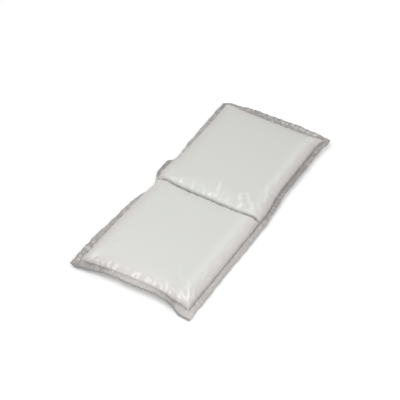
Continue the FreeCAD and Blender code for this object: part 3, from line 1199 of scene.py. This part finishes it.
@dataclass
class Pouch:
    """The filled pouch, whose film gathers in a grid and is dressed in one twice as fine."""

    shape: PouchShape
    gathering: Gathering = field(default_factory=Gathering)
    crinkle: Crinkle = field(default_factory=Crinkle)
    shading: Shading = field(default_factory=Shading)
    finish: FilmFinish = field(default_factory=FilmFinish)
    fineness: int = 2

    def gathered(self) -> list[Array]:
        """Let the film settle in the coarsest grid.

        Returns:
            How far each sheet moves, in a grid twice as fine.
        """
        cloth = self.gathering
        grids = [self.shape.grid(sheet, 1) for sheet in Sheet]
        inward = [self.shape.inward(grid) for grid in grids]
        held = [away <= 0 for away in inward]
        held[1] |= inward[1] > cloth.resting * self.shape.belly_run
        slack = [np.clip(1 - away / cloth.slack_reach, 0, 1) * (away > 0) for away in inward]
        film = closed_film("film_to_settle", *(self.shape.surface(grid) for grid in grids))
        moved = cloth.settle(film, np.stack(held).ravel(), np.stack(slack).ravel())
        return [cloth.calmed(*both) for both in zip(moved.reshape(*np.shape(inward), 3), inward)]

    def build(self) -> bpy.types.Object:
        """Make the pouch and dress it.

        Returns:
            The finished piece.
        """
        grids = [self.shape.grid(sheet, self.fineness) for sheet in Sheet]
        sheets = [self.shape.surface(grid) for grid in grids]
        sheets = [sheet + move for sheet, move in zip(sheets, self.gathered())]
        rise = sum(wrinkle.rise(sheets[0]) for wrinkle in WRINKLES) * grids[0].off_weld
        sheets[0] = sheets[0] + facing(sheets[0]) * rise[..., None]
        smooth = closed_film("smooth_film", *sheets)
        # The loose film's colour is partly a painted highlight on the wrinkles' crests and wholly
        # one along the right shoulder.
        loose = rise / self.finish.loose_rise + self.shading.shoulder_highlight(self.shape, grids[0])
        self.carry(smooth, [{"loose": np.clip(loose, 0, 1)}, {"loose": np.zeros_like(loose)}])
        self.carry(smooth, [self.shading.looks(self.shape, grid) for grid in grids])
        masks = [self.crinkle.masks(self.shape, grid) for grid in grids]
        self.carry(smooth, masks)
        mesh = self.crinkle.press(smooth, self.finish.material())
        mesh.name = "pouch"
        for name in masks[0]:
            mesh.attributes.remove(mesh.attributes[name])
        points = read_points(mesh)
        points[:, 2] = np.maximum(points[:, 2], self.shape.low.z)
        mesh.vertices.foreach_set("co", points.ravel())
        mesh.update()
        piece = put("pouch", mesh)
        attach(piece, BODY)
        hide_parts(NODE)
        return piece

    @staticmethod
    def carry(mesh: Mesh, looks: list[dict[str, Array]]) -> None:
        """Let the film carry values of its points.

        Args:
            mesh: The film.
            looks: For each sheet, its values by their names.
        """
        for name in looks[0]:
            values = np.concatenate([look[name].ravel() for look in looks])
            mesh.attributes.new(name, "FLOAT", "POINT").data.foreach_set("value", values)


@dataclass(frozen=True)
class Lamp:
    """A square soft box that faces the pack, with its side in metres and its power in watts."""

    name: str
    place: tuple[float, float, float]
    size: float
    power: float

    def hang(self) -> None:
        """Put the lamp in its place."""
        data = bpy.data.lights.new(self.name, "AREA")
        data.size, data.energy = self.size, self.power
        lamp = put(self.name, data)
        lamp.location = self.place
        lamp.rotation_euler = (-Vector(self.place)).to_track_quat("-Z", "Y").to_euler()


@dataclass
class Studio:
    """A white floor, soft lamps and the photograph's camera.

    Attributes:
        target: Point on the floor that the camera looks at.
        azimuth, elevation: Direction of the camera round the pack and over the horizon, in
            degrees.
        distance: Distance of the camera from its target.
        lens: Focal length, in millimetres on the default sensor.
        sky: Strength of the surround's light.
        floor_reach: Distance from the middle to the floor's sides.
        brightest: Point of the floor, near the main lamp, that needs least lightening.
        floor_glow, glow_slope: How much the floor is lightened there, so that it looks white,
            and how much more for each metre away from there.
    """

    target: Vector = field(default_factory=lambda: Vector((-0.81, 11.09, 0)) * MM)
    azimuth: float = -58.43
    elevation: float = 44.3
    distance: float = 1.3345
    lens: float = 103.1
    sky: float = 0.455
    lamps: tuple[Lamp, ...] = (
        Lamp("key", (-0.28, 0.02, 0.75), size=0.45, power=2.7),
        Lamp("front", (-0.55, -1.0, 1.0), size=0.8, power=3.0),
        Lamp("back", (0.4, 1.0, 1.1), size=0.8, power=0.6),
    )
    floor_white: Colour = (0.92, 0.92, 0.92)
    floor_reach: float = 4.0
    brightest: tuple[float, float, float] = (-0.28, 0.06, 0)
    floor_glow: float = 0.125
    glow_slope: float = 0.385

    def add_camera(self) -> None:
        """Put the camera where the photograph was taken from."""
        a, e = math.radians(self.azimuth), math.radians(self.elevation)
        back = Vector((math.sin(a) * math.cos(e), -math.cos(a) * math.cos(e), math.sin(e)))
        data = bpy.data.cameras.new("camera")
        data.lens = self.lens
        camera = put("camera", data)
        camera.location = self.target + back * self.distance
        camera.rotation_euler = (-back).to_track_quat("-Z", "Y").to_euler()
        bpy.context.scene.camera = camera

    @staticmethod
    def seen_directly(tree: Tree) -> Socket:
        """Find out which rays show a surface directly.

        Args:
            tree: The node tree to build in.

        Returns:
            The socket that holds 1 for camera, glossy and transmission rays, and 0 for others.
        """
        path = tree.nodes.new("ShaderNodeLightPath")
        seen = path.outputs["Is Camera Ray"]
        for other in ("Is Glossy Ray", "Is Transmission Ray"):
            seen = maths(tree, "MAXIMUM", seen, path.outputs[other])
        return seen

    def add_sky(self) -> None:
        """Put up a plain white surround that lights the pack softly."""
        world = bpy.data.worlds.new("surround")
        bpy.context.scene.world = world
        world.use_nodes = True
        tree = world.node_tree
        background = tree.nodes["Background"]
        background.inputs["Color"].default_value = (1, 1, 1, 1)
        strength = add_node(tree, "ShaderNodeMapRange", {"Value": self.seen_directly(tree),
                                                         "To Min": self.sky, "To Max": 1.0})
        tree.links.new(strength.outputs["Result"], background.inputs["Strength"])

    def add_floor(self) -> None:
        """Lay a matt white floor that keeps the pack's shadow."""
        made = bpy.data.materials.new("white_floor")
        made.use_nodes = True
        tree = made.node_tree
        tree.nodes.clear()
        matt = add_node(tree, "ShaderNodeBsdfDiffuse", {"Color": (*self.floor_white, 1)})
        place = add_node(tree, "ShaderNodeTexCoord", {}).outputs["Object"]
        away = add_node(tree, "ShaderNodeVectorMath", {0: place, 1: self.brightest},
                        operation="DISTANCE").outputs["Value"]
        level = maths(tree, "MULTIPLY_ADD", away, self.glow_slope, self.floor_glow, use_clamp=True)
        strength = maths(tree, "MULTIPLY", self.seen_directly(tree), level)
        glow = add_node(tree, "ShaderNodeEmission", {"Strength": strength})
        both = add_node(tree, "ShaderNodeAddShader", {0: matt.outputs[0], 1: glow.outputs[0]})
        add_node(tree, "ShaderNodeOutputMaterial", {"Surface": both.outputs[0]})
        reach = self.floor_reach
        corners = [(-reach, -reach, 0), (reach, -reach, 0), (reach, reach, 0), (-reach, reach, 0)]
        mesh = bpy.data.meshes.new("floor")
        mesh.from_pydata(corners, [], [(0, 1, 2, 3)])
        mesh.materials.append(made)
        put("floor", mesh)

    def build(self) -> None:
        """Build the whole studio."""
        self.add_camera()
        self.add_sky()
        self.add_floor()
        for lamp in self.lamps:
            lamp.hang()
        bpy.context.scene.view_settings.view_transform = "Standard"


def main() -> None:
    """Build the studio and the pack, and report each piece."""
    Studio().build()
    shape = PouchShape(*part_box(NODE))
    piece = Pouch(shape).build()
    log.info("%s: %d faces", piece.name, len(piece.data.polygons))


if __name__ == "__main__":
    main()
